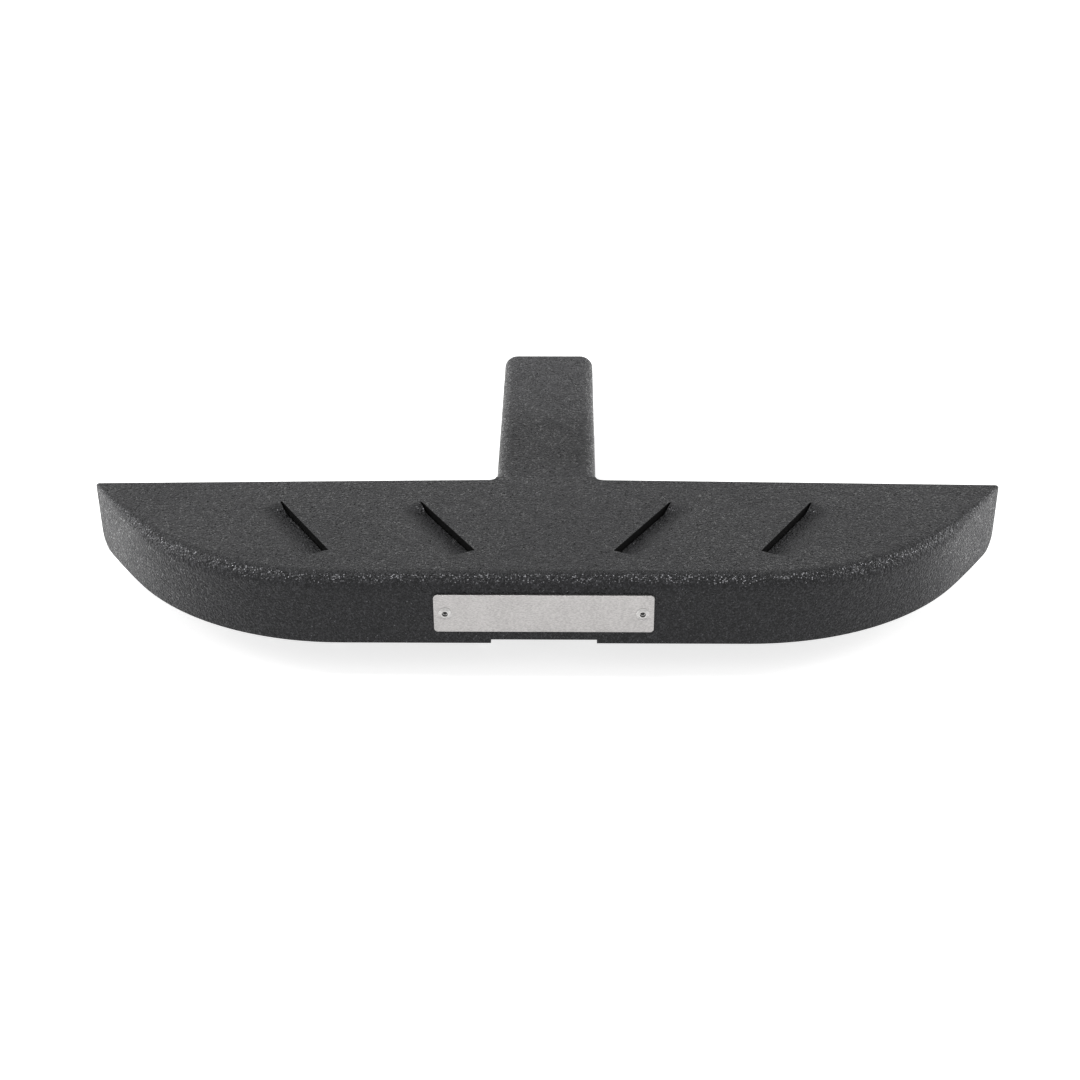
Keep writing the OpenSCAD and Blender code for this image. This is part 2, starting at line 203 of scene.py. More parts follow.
def slot_outline():
    """Outline of a slot with round ends, across and along."""
    r, half = GILL_SLOT / 2, GILL_LEN / 2 - GILL_SLOT / 2
    places = []
    for sign in (1, -1):
        for i in range(SLOT_END_STEPS + 1):
            a = math.pi * i / SLOT_END_STEPS
            places.append((r + sign * r * math.cos(a), sign * (half + r * math.sin(a))))
        for i in range(1, SLOT_STEPS):
            places.append((r - sign * r, sign * half * (1 - 2 * i / SLOT_STEPS)))
    return places


def gill_grid():
    """Places round a slot, across and along, that let the mesh follow the pressed deck."""
    half = GILL_LEN / 2
    beside = [0.7, 1.4, 2.2] + [3.2 + i for i in range(12)] + [GILL_RAMP + RAMP_MARGIN]
    across = [-2.4, -1.2, -0.6, GILL_SLOT / 2] + [GILL_SLOT + b for b in beside]
    along = [-half - 1.8, -half - 0.6] + [-half + FINE_STEP * j for j in range(9)]
    rest = half - GILL_FRONT - FINE_STEP
    along += [-rest + (half + 1.2 + rest) * j / SLOT_STEPS for j in range(SLOT_STEPS + 1)]
    return [(p, q) for p in across for q in along if not in_slot(p, q, SLOT_MARGIN)]


def tread_columns():
    """Columns of the swept fold from left to right: side, run, part, lowest height, fold radius."""
    length = END_R * (end_angle(0) - TURN)

    def fold_at(rest):
        """Radius of the fold, which tightens over the last stretch before a rear corner."""
        return TIP_R + (FOLD_R - TIP_R) * ease(rest / TIP_RUN)

    half = [("front", x / FRONT_HALF, SKIRT_LOW, FOLD_R) for x in FRONT_COLUMNS]
    for i in range(CORNER_COLUMNS):
        t = i / CORNER_COLUMNS
        half.append(("corner", t, SKIRT_LOW, fold_at(length + (1 - t) * TURN * CORNER_R)))
    straight = length - SKIRT_END_R
    end = [(straight * i / END_COLUMNS, SKIRT_LOW) for i in range(END_COLUMNS)]
    for i in range(SKIRT_END_STEPS + 1):
        a = math.pi / 2 * (1 - i / SKIRT_END_STEPS)
        end.append((length - SKIRT_END_R * (1 - math.cos(a)),
                    SKIRT_LOW + SKIRT_END_R * (1 - math.sin(a))))
    half += [("end", run / length, low, fold_at(length - run)) for run, low in end]
    return [(-1, *column) for column in half[:0:-1]] + [(1, *column) for column in half]


def section(low, fold):
    """Rows of the section from the skirt's lower edge to the deck.

    Each row has an inset and a height for the outside, and both for the inside."""
    rows = [((0, low + (DECK_Z - fold - low) * f), (SHEET, low + (FOLD_Z - low) * f))
            for f in SKIRT_ROWS]
    inner = FOLD_R - SHEET
    for i in range(1, FOLD_STEPS + 1):
        a = math.pi / 2 * i / FOLD_STEPS
        rows.append(((fold - fold * math.cos(a), DECK_Z - fold + fold * math.sin(a)),
                     (FOLD_R - inner * math.cos(a), FOLD_Z + inner * math.sin(a))))
    rows.append(((FOLD_R + FOLD_MARGIN, DECK_Z), (FOLD_R + FOLD_MARGIN, DECK_UNDER)))
    return rows


def add_face(bm, corners):
    """Adds a face of the corners that differ, if there are three or more."""
    corners = list(dict.fromkeys(corners))
    if len(corners) > 2:
        bm.faces.new(corners)


class Sheet:
    """A sheet under construction, in millimetres. Each point has an outer and an inner vertex."""

    def __init__(self):
        self.bm = bmesh.new()
        self.outer, self.inner = [], []

    def point(self, outside, within):
        """Adds a point and returns its number."""
        self.outer.append(self.bm.verts.new(outside))
        self.inner.append(self.bm.verts.new(within))
        return len(self.outer) - 1

    def sweep_fold(self):
        """Points of skirt and fold, a column for every place round the outline, and their faces."""
        grid = []
        for side, run, t, low, fold in tread_columns():
            column = []
            for (d, z), (d2, z2) in section(low, fold):
                p, p2 = plan_point(run, t, d), plan_point(run, t, d2)
                column.append(self.point((side * p.x, p.y, z), (side * p2.x, p2.y, z2)))
            grid.append(column)
        faces = []
        for left, right in zip(grid, grid[1:]):
            middle = (self.outer[left[0]].co.x + self.outer[right[0]].co.x) / 2
            first = 1 if abs(middle) < NOTCH_W / 2 else 0
            for j in range(first, len(left) - 1):
                faces.append((left[j], right[j], right[j + 1], left[j + 1]))
        return grid, faces

    def rear_edge(self, start):
        """Points of the rear edge from the right end at start to the left one.

        Returns the numbers of them all and of those in the groove for the flush seam. At each of
        the shank's corners two points share an inner vertex, and the last value gives the first
        of them by the second."""
        half = SHANK_W / 2
        free = [start + (half - start) * i / REAR_STEPS for i in range(1, REAR_STEPS)]
        set_back = [half * (1 - 2 * i / SEAM_STEPS) for i in range(SEAM_STEPS + 1)]
        right = [(x, rear_line(x), rear_line(x)) for x in free] + [(half, REAR_Y, REAR_Y)]
        groove = [(x, REAR_Y - SEAM_W / 2, REAR_Y) for x in set_back]
        left = [(-x, y, y2) for x, y, y2 in reversed(right)]
        ids = [self.point((x, y, DECK_Z), (x, y2, DECK_UNDER))
               for x, y, y2 in right + groove + left]
        groove_ids = ids[len(right):-len(left)]
        shared = {groove_ids[0]: ids[len(right) - 1], ids[-len(left)]: groove_ids[-1]}
        return ids, groove_ids, shared

    def fill_deck(self, loop):
        """Faces of the deck within a loop of points, with the slots cut out."""
        points = [self.outer[i].co.xy for i in loop]
        boundary = [tuple(p) for p in points]
        edges = list(ring(list(range(len(loop)))))
        for origin, across, along in GILLS:
            outline = slot_outline()
            edges += ring(list(range(len(points), len(points) + len(outline))))
            points += [origin + across * p + along * q for p, q in outline + gill_grid()]
        places, _, polygons, sources, *_ = delaunay_2d_cdt(points, edges, [], 0, 1e-5)
        ids = []
        for co, source in zip(places, sources):
            known = next((loop[s] for s in source if s < len(loop)), None)
            if known is None:
                z = deck_height(co)
                known = self.point((co.x, co.y, z), (co.x, co.y, z - SHEET))
            ids.append(known)
        faces = []
        for polygon in polygons:
            corners = [places[i] for i in polygon]
            middle = sum(corners, Vector((0, 0))) / len(corners)
            sliver = plan_area(corners) < LEAST_AREA
            if not sliver and not near_slot(middle) and inside(middle, boundary):
                faces.append(tuple(ids[i] for i in polygon))
        return faces

    def close(self, faces, groove, shared):
        """Adds the faces on both sides of the sheet and the walls round its rims."""
        for face in faces:
            self.bm.faces.new([self.outer[i] for i in face])
            self.bm.faces.new([self.inner[i] for i in reversed(face)])
        sides = dict.fromkeys(side for face in faces for side in ring(face))
        split = {*groove, *shared, *shared.values()}
        middles = {}

        def path(i):
            """Vertices from the outside to the inside of the sheet at a rim."""
            if i not in split:
                return [self.outer[i], self.inner[i]]
            key = shared.get(i, i)
            if key not in middles:
                x = self.outer[key].co.x
                middles[key] = self.bm.verts.new((x, REAR_Y, DECK_Z - SEAM_W / 2))
            return [self.outer[i], middles[key], self.inner[key]]

        for a, b in sides:
            if (b, a) in sides:
                continue
            near, far = path(a), path(b)
            if len(near) == len(far):
                for k in range(len(near) - 1):
                    add_face(self.bm, [near[k + 1], far[k + 1], far[k], near[k]])
            else:
                self.bm.faces.new(near[::-1] + far)
        merge = {self.inner[second]: self.inner[first] for second, first in shared.items()}
        bmesh.ops.weld_verts(self.bm, targetmap=merge)
        loose = [v for v in self.bm.verts if not v.link_faces]
        bmesh.ops.delete(self.bm, geom=loose, context="VERTS")


def tread_mesh():
    """The pressed sheet: skirt and fold swept round the outline, and a deck with pressed gills."""
    sheet = Sheet()
    grid, faces = sheet.sweep_fold()
    rear, groove, shared = sheet.rear_edge(sheet.outer[grid[-1][-1]].co.x)
    faces += sheet.fill_deck([column[-1] for column in grid] + rear)
    sheet.close(faces, groove, shared)
    return sheet.bm


def place(name, data):
    """Adds an object for some data to the scene."""
    obj = bpy.data.objects.new(name, data)
    bpy.context.scene.collection.objects.link(obj)
    return obj


def mesh_object(name, bm):
    """Makes an object of a bmesh whose unit is the millimetre."""
    mesh = bpy.data.meshes.new(name)
    bmesh.ops.transform(bm, matrix=Matrix.Scale(MM, 4), verts=bm.verts)
    bm.to_mesh(mesh)
    bm.free()
    return place(name, mesh)


def make_piece(name, bm):
    """Makes a smooth piece of the part, which rides on its only body."""
    bmesh.ops.recalc_face_normals(bm, faces=bm.faces)
    obj = mesh_object(name, bm)
    for polygon in obj.data.polygons:
        polygon.use_smooth = True
    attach(obj, "root")
    return obj


def weighted_normals(obj):
    """Keeps flat faces flat beside rounded edges."""
    normals = obj.modifiers.new("normals", "WEIGHTED_NORMAL")
    normals.weight = 60
    normals.keep_sharp = True


def round_edges(bm, edges, width, segments):
    """Rounds edges of a bmesh."""
    bmesh.ops.bevel(bm, geom=edges, offset=width, segments=segments, profile=0.5,
                    affect="EDGES", clamp_overlap=True)


def make_tread():
    """The tread with rounded rims. The walls of its cuts have a material of their own, painted
    nearly black as shade.
    """
    bm = tread_mesh()
    bmesh.ops.recalc_face_normals(bm, faces=bm.faces)
    slot_edges, rims = [], []
    sharp = [e for e in bm.edges
             if len(e.link_faces) == 2 and e.calc_face_angle(0) > SHARP_ANGLE]
    for edge in sharp:
        middle = (edge.verts[0].co + edge.verts[1].co) / 2
        if abs(middle.x) < SHANK_W / 2 + HAIR and middle.y > REAR_Y - SEAM_W:
            edge.smooth = False
        elif near_slot(middle.xy, SLOT_MARGIN):
            slot_edges.append(edge)
        else:
            rims.append(edge)
    round_edges(bm, rims, RIM_ROUND, 3)
    round_edges(bm, [e for e in slot_edges if e.is_valid], SLOT_ROUND, 2)
    # Faces at the slots get the second material, painted nearly black as shade
    for face in bm.faces:
        face.material_index = int(near_slot(face.calc_center_median().xy, CUT_MARGIN))
    bmesh.ops.dissolve_degenerate(bm, dist=LEAST_EDGE, edges=bm.edges[:])
    for vert in bm.verts:
        vert.co.z = min(vert.co.z, DECK_Z)
    obj = make_piece("tread", bm)
    weighted_normals(obj)
    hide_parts("step_shell")
    return obj


def lathe(name, node, profile):
    """Turns a profile (radius, distance behind the skirt's face) round a fastener's axis.

    A profile that starts on the axis ends there too. Any other is closed to a loop."""
    low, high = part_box(node)
    x, z = (low[0] + high[0]) / 2 / MM, (low[2] + high[2]) / 2 / MM
    bm = bmesh.new()
    turns = [2 * math.pi * i / LATHE_STEPS for i in range(LATHE_STEPS)]
    circles = []
    for r, y in profile:
        angles = turns if r else turns[:1]
        circles.append([bm.verts.new((x + r * math.cos(a), FRONT_Y + y, z + r * math.sin(a)))
                        for a in angles])
    pairs = list(zip(circles, circles[1:]))
    if profile[0][0]:
        pairs.append((circles[-1], circles[0]))
    for near, far in pairs:
        for i, j in ring(list(range(LATHE_STEPS))):
            add_face(bm, [near[i % len(near)], near[j % len(near)],
                          far[j % len(far)], far[i % len(far)]])
    obj = make_piece(name, bm)
    obj.data.set_sharp_from_angle(angle=math.radians(50))
    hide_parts(node)
    return obj


def ends_of(node):
    """How far the front and the rear end of a node lie behind the skirt's face."""
    low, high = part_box(node)
    return low[1] / MM - FRONT_Y, high[1] / MM - FRONT_Y


def make_rivet(side):
    """Blind rivet with a rolled rim round its crater and a bulb behind the skirt."""
    top, tail = ends_of("rivet_" + side)
    seat, rim, bulb, bore = -BADGE_T, RIVET_HEAD_D / 2, BULB_D / 2, 0.95
    head = [(rim, seat), (rim, seat - 0.14), (rim - 0.08, seat - 0.24),
            (rim - 0.5, seat - 0.4), (rim - 0.9, seat - 0.6)]
    rolled = [(2.05, top + 0.1), (1.88, top + 0.03), (1.7, top), (1.52, top + 0.03)]
    crater = [(1.37, top + 0.12), (1.28, top + 0.28), (1.22, top + 0.7), (1.15, top + 1.3),
              (bore, top + 1.4), (bore, tail)]
    back = []
    for i in range(BULB_STEPS + 1):
        a = math.pi / 2 * i / BULB_STEPS
        back.append((bulb - BULB_ROUND + BULB_ROUND * math.sin(a),
                     tail - BULB_ROUND + BULB_ROUND * math.cos(a)))
    back += [(bulb, SHEET + 0.2), (bulb - 0.2, SHEET), (RIVET_D / 2, SHEET), (RIVET_D / 2, seat)]
    return lathe("blind_rivet_" + side, "rivet_" + side, head + rolled + crater + back)


def make_mandrel(side):
    """The mandrel of a blind rivet, broken off in its crater, with its head behind the bulb."""
    top, tail = ends_of("rivet_" + side)
    end = ends_of("mandrel_" + side)[1]
    stem, head = 0.85, RIVET_D / 2
    broken = [(0, top + 0.98), (0.3, top + 0.9), (0.55, top + 1.02), (0.76, top + 1.08),
              (0.84, top + 1.2), (stem, top + 1.4), (stem, tail)]
    back = [(head - 0.1, tail), (head, tail + 0.1), (head, end - 0.35), (head - 0.12, end - 0.12),
            (head - 0.4, end), (0, end)]
    return lathe("broken_mandrel_" + side, "mandrel_" + side, broken + back)


def bead_into(bm, start, end, a, b, kind, phase):
    """Adds a weld bead from start to end: legs along a and b, overlapping curved ripples on top."""
    leg, pitch, ripple = kind
    start, end, a, b = (Vector(v) for v in (start, end, a, b))
    length = (end - start).length
    along = (end - start) / length
    steps = int(length / BEAD_STEP)
    sections = []
    for i in range(steps + 1):
        s = length * i / steps
        wobble = 1 + 0.03 * math.sin(s * 0.9 + phase) + 0.025 * math.sin(s * 2.3 + 2 * phase)
        fade = 0.55 + 0.45 * min(ease(s / BEAD_END), ease((length - s) / BEAD_END))
        size = leg * 0.95 * wobble * fade
        points = [bm.verts.new(start + along * s - a * BEAD_ROOT - b * BEAD_ROOT)]
        for k in range(BEAD_POINTS):
            t = k / (BEAD_POINTS - 1)
            bow = 4 * t * (1 - t)
            wave = ((s - 1.3 * bow + phase) / pitch + 0.15 * math.sin(s * 0.7 + phase)) % 1.0
            crest = math.sin(math.pi * wave ** 0.7)
            lift = bow * (0.1 * leg + ripple * crest - ripple)
            points.append(bm.verts.new(start + along * s + a * size * (1 - t) + b * size * t
                                       + (a + b).normalized() * lift))
        points[1].co -= b * BEAD_TOE
        points[-1].co -= a * BEAD_TOE
        sections.append(points)
    for near, far in zip(sections, sections[1:]):
        for k, m in ring(list(range(len(near)))):
            bm.faces.new((near[k], near[m], far[m], far[k]))
    bm.faces.new(sections[0][::-1])
    bm.faces.new(sections[-1])


def node_box(name):
    """Lowest and highest corner of a CAD node, in millimetres."""
    return [Vector(corner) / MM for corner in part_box(name)]


def make_welds():
    """The rippled beads under the tread, each in the place of its CAD solid."""
    down, front, back = (0, 0, -1), (0, -1, 0), (0, 1, 0)
    welds = []
    for side, sign in (("left", -1), ("right", 1)):
        out, x = (sign, 0, 0), sign * SHANK_W / 2
        low, high = node_box("weld_deck_" + side)
        deck = [((x, high.y, DECK_UNDER), (x, low.y, DECK_UNDER), out, down, LONG_BEAD, 0.4)]
        low, high = node_box("weld_front_" + side)
        skirt = [((x, low.y, low.z), (x, low.y, high.z + 1), out, back, LONG_BEAD, 1.1)]
        low, high = node_box("weld_gusset_" + side)
        far = high.x if sign > 0 else low.x
        gusset = [((x + sign * BEAD_ROOT, high.y, high.z), (far, high.y, high.z), front, down,
                   SMALL_BEAD, 0.2),
                  ((x, high.y, low.z), (x, high.y, high.z - BEAD_ROOT), out, front,
                   SMALL_BEAD, 0.9)]
        for joint, beads in (("deck_", deck), ("front_", skirt), ("gusset_", gusset)):
            bm = bmesh.new()
            for bead in beads:
                bead_into(bm, *bead)
            obj = make_piece("bead_" + joint + side, bm)
            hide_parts("weld_" + joint + side)
            welds.append(obj)
    return welds


def round_node(name, width_mm):
    """Joins the faces of a CAD node and rounds its sharp edges, by modifiers."""
    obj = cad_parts[name]
    obj.modifiers.new("weld", "WELD").merge_threshold = 1e-6
    if not width_mm:
        return
    planar = obj.modifiers.new("planar", "DECIMATE")
    planar.decimate_type = "DISSOLVE"
    planar.angle_limit = math.radians(1)
    bevel = obj.modifiers.new("bevel", "BEVEL")
    bevel.width = width_mm * MM
    bevel.segments = 2
    bevel.limit_method = "ANGLE"
    bevel.angle_limit = math.radians(35)
    weighted_normals(obj)


class Nodes:
    """Short calls for the nodes of a tree."""

    def __init__(self, tree):
        self.tree = tree

    def node(self, kind, inputs=None, **settings):
        made = self.tree.nodes.new("ShaderNode" + kind)
        for name, value in settings.items():
            setattr(made, name, value)
        for name, value in (inputs or {}).items():
            self.put(value, made.inputs[name])
        return made

    def put(self, value, socket):
        if isinstance(value, bpy.types.NodeSocket):
            self.tree.links.new(value, socket)
        else:
            socket.default_value = value

    def math(self, operation, a, b):
        return self.node("Math", {0: a, 1: b}, operation=operation).outputs[0]

    def times(self, a, b):
        return self.math("MULTIPLY", a, b)

    def plus(self, a, b):
        return self.math("ADD", a, b)

    def vector(self, operation, inputs, output="Vector"):
        return self.node("VectorMath", inputs, operation=operation).outputs[output]

    def spread(self, value, low, high, to_low=0.0, to_high=1.0):
        """Maps a range of a value to another, softly."""
        made = self.node("MapRange", {"Value": value, "From Min": low, "From Max": high,
                                      "To Min": to_low, "To Max": to_high},
                         interpolation_type="SMOOTHSTEP")
        return made.outputs["Result"]

    def noise(self, where, scale, detail=2.0, roughness=0.5):
        made = self.node("TexNoise", {"Vector": where, "Scale": scale, "Detail": detail,
                                      "Roughness": roughness})
        return made.outputs["Fac"]

    def cells(self, where, size_mm):
        """Random cells of a size: their colour and the distance from their middle."""
        return self.node("TexVoronoi", {"Vector": where, "Scale": 1 / (size_mm * MM)}).outputs

    def mix(self, part, a, b):
        """Mixes two colours, which are the sockets 6, 7 and 2 of a Mix node."""
        return self.node("Mix", {0: part, 6: a, 7: b}, data_type="RGBA").outputs[2]

    def colours(self, colour):
        return self.node("SeparateColor", {"Color": colour}).outputs

    def axes(self, vector):
        return self.node("SeparateXYZ", {"Vector": vector}).outputs

    def along_y(self, where, bands):
        """A value that follows a list of places along Y, in millimetres, and their heights."""
        y = self.axes(where)["Y"]
        value = bands[0][1]
        for (y0, v0), (y1, v1) in zip(bands, bands[1:]):
            value = self.plus(value, self.spread(y, y0 * MM, y1 * MM, 0.0, v1 - v0))
        return value

    def object_point(self):
        return self.node("TexCoord").outputs["Object"]

    def surface_normal(self):
        return self.node("NewGeometry").outputs["Normal"]

    def edges(self, radius_mm):
        """1 on rounded outer edges and 0 on flat faces, from the shape alone."""
        soft = self.node("Bevel", {"Radius": radius_mm * MM}, samples=4).outputs["Normal"]
        agreement = self.vector("DOT_PRODUCT", {0: soft, 1: self.surface_normal()}, "Value")
        return self.spread(agreement, 0.995, 0.90)

    def bump(self, height, depth_mm, strength=1.0):
        return self.node("Bump", {"Strength": strength, "Distance": depth_mm * MM,
                                  "Height": height}).outputs["Normal"]


class Material(Nodes):
    """A node material under construction."""

    def __init__(self, name):
        self.data = bpy.data.materials.new(name)
        self.data.use_nodes = True
        super().__init__(self.data.node_tree)
        self.tree.nodes.clear()
        self.output = self.node("OutputMaterial")

    def principled(self, inputs):
        shader = self.node("BsdfPrincipled", inputs)
        self.put(shader.outputs["BSDF"], self.output.inputs["Surface"])
        return self.data


def rgb(r, g, b):
    return (r, g, b, 1.0)


def grey(tone):
    return rgb(tone, tone, tone)


# Looks of the coat: sizes of its grains, glinting facets, and flecks with painted glints and a tone
# of their own, in millimetres
GRAIN_MM, FACET_MM, FLECK_MM = 1.2, 1.15, 0.65
# Scales of the finest grain, of the spray and of the cloudiness
FINE_SCALE, SPRAY_SCALE, CLOUD_SCALE = 900 / GRAIN_MM, 260, 22
# Darkest tone of the coat, and the colour of the painted glints
COAT_DARK, GLINT_LIGHT = rgb(0.001, 0.001, 0.0011), rgb(0.62, 0.62, 0.65)
EDGE_LIGHT, REFLECTION_TINT = rgb(0.05, 0.05, 0.052), rgb(0.97, 0.975, 1.0)
EDGE_WIDTH_MM, EDGE_SHARE = 0.8, 0.35
# Share of the tone that single grains have of their own
UNEVEN = 0.8
# Lean of the facets, the part of it that the steady ones keep, and the facets' roughness
FACET_TILT, STEADY_PART, FACET_ROUGHNESS = 1.5, 0.22, 0.1
# Share of painted glints on flats and along the fold, and their strength there
GLINTS_FLAT, GLINTS_FOLD, GLINT_FLAT_TONE, GLINT_FOLD_TONE = 0.013, 0.24, 0.3, 0.7
# Ranges of the normal's Z and Y between which the front fold begins and ends
FOLD_FROM, FOLD_TO, FOLD_FRONT = (0.4, 0.7), (0.945, 0.9), (-0.2, -0.45)
# Painted shade: share of the full colour and reflection that the tread's top and the shank's sides
# keep, darker as light falls on them
TOP_PAINTED_SHADE, SIDES_PAINTED_SHADE = 0.78, 0.85
# Painted shade and light along the shank: place in millimetres and share of the full colour and
# reflection
SHANK_PAINTED_SHADE = ((-110, 0.74), (-86, 0.74), (-66, 0.58), (-30, 0.58), (0, 0.84), (30, 0.9), (62, 1.0))


def coat_painted_shade(m, where, up, bands):
    """Painted shade: share of the full colour and reflection, from the bands of a list or from
    where the surface looks up.
    """
    if bands:
        return m.times(m.along_y(where, bands), m.spread(up, 0.5, 0.97, SIDES_PAINTED_SHADE, 1.0))
    return m.spread(up, 0.5, 0.98, 1.0, TOP_PAINTED_SHADE)


def coat_painted_glints(m, flecks, luck, facing):
    """Painted glints on grains: rare on flats, frequent along the front fold where the light
    glints.
    """
    fold = m.times(m.spread(facing["Z"], *FOLD_FROM), m.spread(facing["Z"], *FOLD_TO))
    fold = m.times(fold, m.spread(facing["Y"], *FOLD_FRONT))
    rare = m.math("SUBTRACT", 1 - GLINTS_FLAT, m.times(fold, GLINTS_FOLD))
    glint = m.times(m.math("GREATER_THAN", luck["Red"], rare),
                    m.spread(flecks["Distance"], 0.55, 0.35))
    glint_strength = m.plus(m.times(fold, GLINT_FOLD_TONE), GLINT_FLAT_TONE)
    return m.times(glint, m.times(luck["Green"], glint_strength))


def coat_normal(m, normal, facets, pick, facet):
    """The normal, leaning another way on every facet, and only a little on the steady ones."""
    lean = m.vector("SUBTRACT", {0: facets["Color"], 1: (0.5, 0.5, 0.5)})
    tilt = m.spread(pick["Blue"], 0.5, 0.6, FACET_TILT, FACET_TILT * STEADY_PART)
    amount = m.vector("SCALE", {0: lean, "Scale": m.times(facet, tilt)})
    return m.vector("NORMALIZE", {0: m.vector("ADD", {0: normal, 1: amount})})


def coat(name, light, relief_mm, roughness, ior, bands=()):
    """Textured black coating: granular relief, uneven colour and gloss, facets, painted glints and
    painted shade.
    """
    m = Material(name)
    where = m.object_point()
    facing = m.axes(m.surface_normal())
    grain = m.cells(where, GRAIN_MM)["Distance"]
    fine = m.noise(where, FINE_SCALE, 3, 0.65)
    spray, cloud = m.noise(where, SPRAY_SCALE), m.noise(where, CLOUD_SCALE, 3)
    facets, flecks = m.cells(where, FACET_MM), m.cells(where, FLECK_MM)
    pick, luck = m.colours(facets["Color"]), m.colours(flecks["Color"])
    painted_shade = coat_painted_shade(m, where, facing["Z"], bands)

    height = m.math("SUBTRACT", m.plus(m.times(fine, 1.2), m.times(spray, 0.5)), grain)
    facet = m.times(m.spread(pick["Red"], 0.0, 0.2), m.spread(facets["Distance"], 0.45, 0.3))
    normal = coat_normal(m, m.bump(height, relief_mm), facets, pick, facet)

    speckle = m.math("SUBTRACT", fine, m.times(grain, 0.35))
    tone = m.plus(m.times(m.spread(speckle, 0.12, 0.58), 0.8), m.times(m.plus(cloud, spray), 0.1))
    tone = m.plus(m.times(tone, 1 - UNEVEN),
                  m.times(m.math("POWER", luck["Blue"], 3.0), UNEVEN))
    # The painted shade darkens the colour, twice over
    colour = m.mix(m.times(tone, m.times(painted_shade, painted_shade)), COAT_DARK, light)
    # Painted glints lighten single grains
    colour = m.mix(coat_painted_glints(m, flecks, luck, facing), colour, GLINT_LIGHT)
    colour = m.mix(m.times(m.edges(EDGE_WIDTH_MM), EDGE_SHARE), colour, EDGE_LIGHT)

    even = m.spread(m.plus(m.times(spray, 0.5), m.times(cloud, 0.5)), 0.3, 0.7,
                    roughness - 0.06, roughness + 0.08)
    gloss = m.math("SUBTRACT", even, m.times(facet, roughness - FACET_ROUGHNESS))
    # The painted shade also dims the reflection through the specular tint
    return m.principled({"Base Color": colour, "Roughness": gloss, "Normal": normal, "IOR": ior,
                         "Specular Tint": m.mix(painted_shade, grey(0), REFLECTION_TINT)})


def painted_shade_cut_coat():
    """The walls of the narrow cuts, with painted shade: dull and nearly black."""
    m = Material("painted_shade_cut_coat")
    dust = m.noise(m.object_point(), 1400)
    colour = m.mix(m.spread(dust, 0.35, 0.65), grey(0.002), grey(0.006))
    return m.principled({"Base Color": colour, "Roughness": 0.75, "Specular IOR Level": 0.06,
                         "Normal": m.bump(dust, 0.2, 0.6)})


# Scale of the brushing and its stretch along X, depth of the scratches in millimetres
BRUSH_SCALE, BRUSH_STRETCH, SCRATCH_MM, SCRATCH = 2600, (0.3, 1.0, 1.0), 0.08, 0.25
METAL_CLOUD_SCALE, METAL_DARK, METAL_EDGE_MM, METAL_EDGE_SHARE = 90, 0.72, 0.3, 0.3


def metal(name, colour, roughness, brush):
    """Bare satin metal with a fine brush along X, clouding and slightly worn edges."""
    m = Material(name)
    where = m.object_point()
    stretched = m.node("Mapping", {"Vector": where, "Scale": BRUSH_STRETCH}).outputs["Vector"]
    lines = m.noise(stretched, BRUSH_SCALE, 3, 0.8)
    cloud = m.noise(where, METAL_CLOUD_SCALE, 3)
    pits = m.noise(where, BRUSH_SCALE)
    height = m.plus(m.times(lines, brush), m.times(pits, 0.5))
    tone = m.plus(m.times(lines, 0.88), m.times(cloud, 0.12))
    darker = rgb(*(c * METAL_DARK for c in colour))
    base = m.mix(m.spread(tone, 0.4, 0.6), darker, rgb(*colour))
    base = m.mix(m.times(m.edges(METAL_EDGE_MM), METAL_EDGE_SHARE), base, grey(0.9))
    gloss = m.spread(tone, 0.3, 0.7, roughness + 0.05, roughness - 0.05)
    return m.principled({"Base Color": base, "Roughness": gloss, "Metallic": 1.0,
                         "Normal": m.bump(height, SCRATCH_MM, SCRATCH)})


def give(obj, material):
    """Puts a material on an object, in place of any that it has."""
    if not obj.material_slots:
        obj.data.materials.append(material)
    for slot in obj.material_slots:
        slot.material = material


# Camera as fitted to the photograph: place in millimetres, angles in radians, lens in pixels
CAMERA_PLACE, YAW, PITCH, ROLL = (10.5, -904.2, 460.5), -0.0168, 0.5233, -0.0057
PHOTO_PX, LENS_PX, SENSOR = 1080, 1816.9, 36

# Strength of the world as a light
WORLD_LIGHT = 0.4
# Floor: tone, glow for the camera and in reflections, and radius and gap below in millimetres
FLOOR_TONE, FLOOR_GLOW, MIRRORED_FLOOR = 0.8, 0.75, 0.6
FLOOR_R, FLOOR_GAP = 12000, 0.2
# Lamps: place, target and size in metres, and power in watts
LAMPS = {"key": ((-0.3, 0.1, 1.8), (0, -0.1, 0), (0.28, 0.28), 14),
         "left": ((-1.5, 0.35, 0.45), (-0.2, -0.1, 0), (0.5, 0.7), 9),
         "right": ((1.5, 0.35, 0.45), (0.2, -0.1, 0), (0.5, 0.7), 10)}


def make_camera():
    """The camera, which looks along forward, with its roll about that line."""
    data = bpy.data.cameras.new("camera")
    data.sensor_width = SENSOR
    data.lens = SENSOR * LENS_PX / PHOTO_PX
    data.clip_start, data.clip_end = 0.01, 50
    camera = place("camera", data)
    forward = Vector((math.sin(YAW) * math.cos(PITCH), math.cos(YAW) * math.cos(PITCH),
                      -math.sin(PITCH)))
    level = Vector((math.cos(YAW), -math.sin(YAW), 0))
    up = level.cross(forward)
    c, s = math.cos(ROLL), math.sin(ROLL)
    turn = Matrix((c * level + s * up, c * up - s * level, -forward)).transposed()
    camera.matrix_world = Matrix.LocRotScale(Vector(CAMERA_PLACE) * MM, turn, None)
    bpy.context.scene.camera = camera


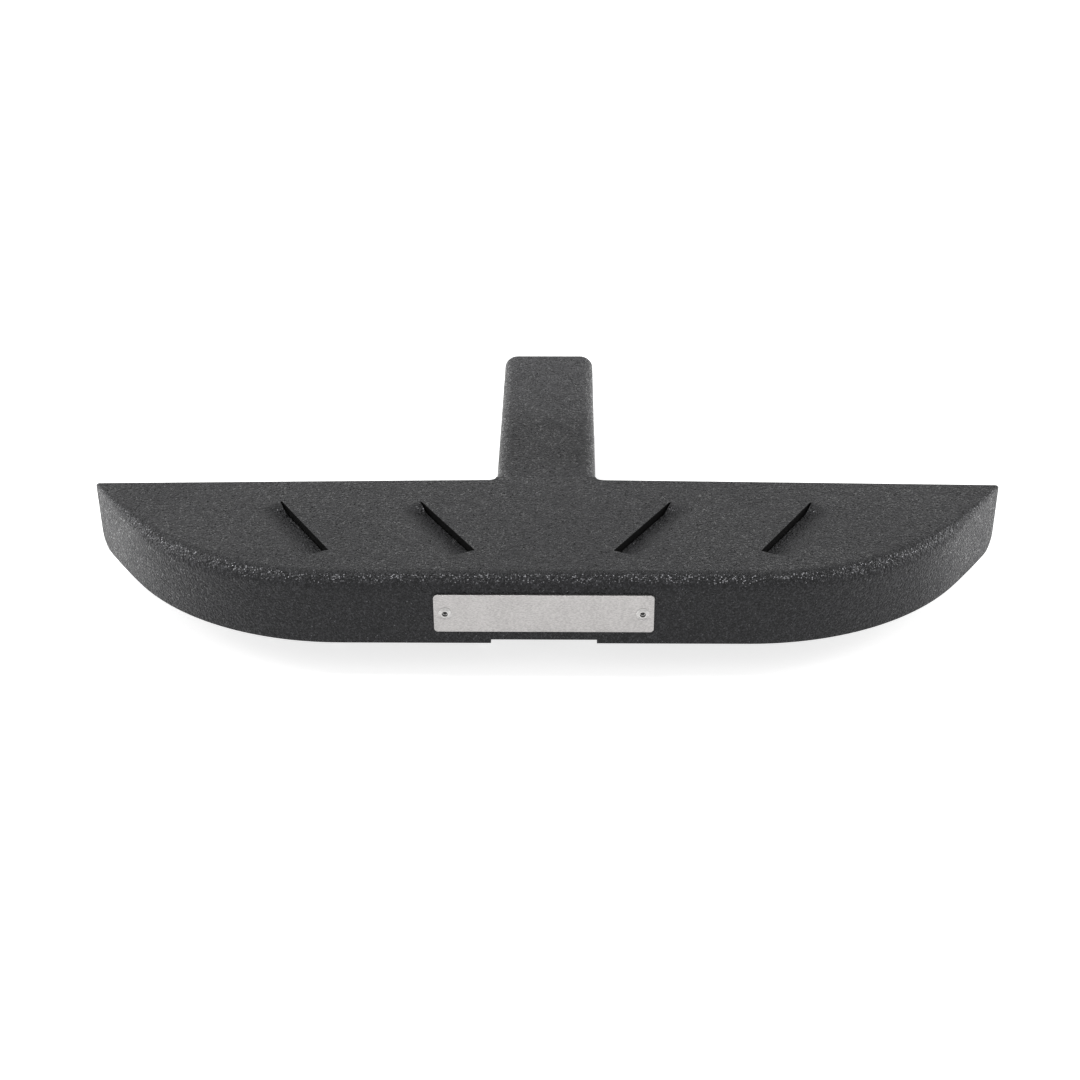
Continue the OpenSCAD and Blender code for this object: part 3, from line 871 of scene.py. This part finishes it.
def make_world():
    """White for rays that show it, from the camera, gloss or glass, and dimmer as a light."""
    world = bpy.data.worlds.new("studio")
    bpy.context.scene.world = world
    world.use_nodes = True
    nodes = Nodes(world.node_tree)
    rays = nodes.node("LightPath").outputs
    seen = nodes.math("MAXIMUM", rays["Is Camera Ray"], rays["Is Glossy Ray"])
    seen = nodes.math("MAXIMUM", seen, rays["Is Transmission Ray"])
    background = nodes.tree.nodes["Background"]
    nodes.put(grey(1), background.inputs["Color"])
    nodes.put(nodes.spread(seen, 0.0, 1.0, WORLD_LIGHT, 1.0), background.inputs["Strength"])


def make_floor():
    """A pale disc just below the shank, which shows white and keeps the shadow."""
    bm = bmesh.new()
    bmesh.ops.create_circle(bm, cap_ends=True, segments=96, radius=FLOOR_R)
    bmesh.ops.translate(bm, verts=bm.verts, vec=(0, 0, -SHANK_W / 2 - FLOOR_GAP))
    obj = mesh_object("floor", bm)
    m = Material("floor")
    clouds = m.noise(m.object_point(), 9)
    base = m.mix(clouds, grey(FLOOR_TONE), grey(FLOOR_TONE * 0.98))
    rays = m.node("LightPath").outputs
    mirrored = m.math("MAXIMUM", rays["Is Glossy Ray"], rays["Is Transmission Ray"])
    glow = m.plus(m.times(rays["Is Camera Ray"], FLOOR_GLOW), m.times(mirrored, MIRRORED_FLOOR))
    give(obj, m.principled({"Base Color": base, "Roughness": 0.9,
                            "Emission Color": grey(1), "Emission Strength": glow}))


def make_lamp(name, spot, target, size, power):
    """A rectangular lamp at a spot, turned to its target."""
    data = bpy.data.lights.new(name, "AREA")
    data.shape, data.size, data.size_y = "RECTANGLE", *size
    data.energy = power
    lamp = place(name, data)
    lamp.location = spot
    lamp.rotation_mode = "QUATERNION"
    lamp.rotation_quaternion = (Vector(target) - Vector(spot)).to_track_quat("-Z", "Y")


tread_coat = coat("tread_coat", rgb(0.068, 0.068, 0.073), relief_mm=0.4, roughness=0.39, ior=1.34)
# The shank's coat carries painted shade and light in bands along its length
shank_coat = coat("shank_coat", rgb(0.095, 0.095, 0.102), relief_mm=0.3, roughness=0.4, ior=1.31,
                  bands=SHANK_PAINTED_SHADE)
badge_metal = metal("badge_metal", (0.49, 0.475, 0.468), roughness=0.36, brush=1.0)
rivet_metal = metal("rivet_metal", (0.6, 0.59, 0.58), roughness=0.3, brush=0.2)
mandrel_metal = metal("mandrel_metal", (0.06, 0.06, 0.06), roughness=0.6, brush=0.2)

tread = make_tread()
tread.data.materials.append(tread_coat)
# Second material: the cut walls, painted nearly black as shade
tread.data.materials.append(painted_shade_cut_coat())

# CAD nodes that the scene shows as they are: rounding of their edges in millimetres, and material
CARRIED = {"hitch_shank": (1.0, shank_coat), "badge_plate": (0.2, badge_metal),
           "shank_cap": (0.5, tread_coat), "weld_cap": (0.0, tread_coat),
           "gusset_left": (0.8, tread_coat), "gusset_right": (0.8, tread_coat),
           "weld_rear_seam": (0.0, tread_coat)}
for name, (width, material) in CARRIED.items():
    round_node(name, width)
    give(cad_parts[name], material)
for obj in make_welds():
    give(obj, tread_coat)
for side in ("left", "right"):
    give(make_rivet(side), rivet_metal)
    give(make_mandrel(side), mandrel_metal)

make_camera()
make_world()
make_floor()
for name, lamp in LAMPS.items():
    make_lamp(name, *lamp)
bpy.context.scene.view_settings.view_transform = "Standard"
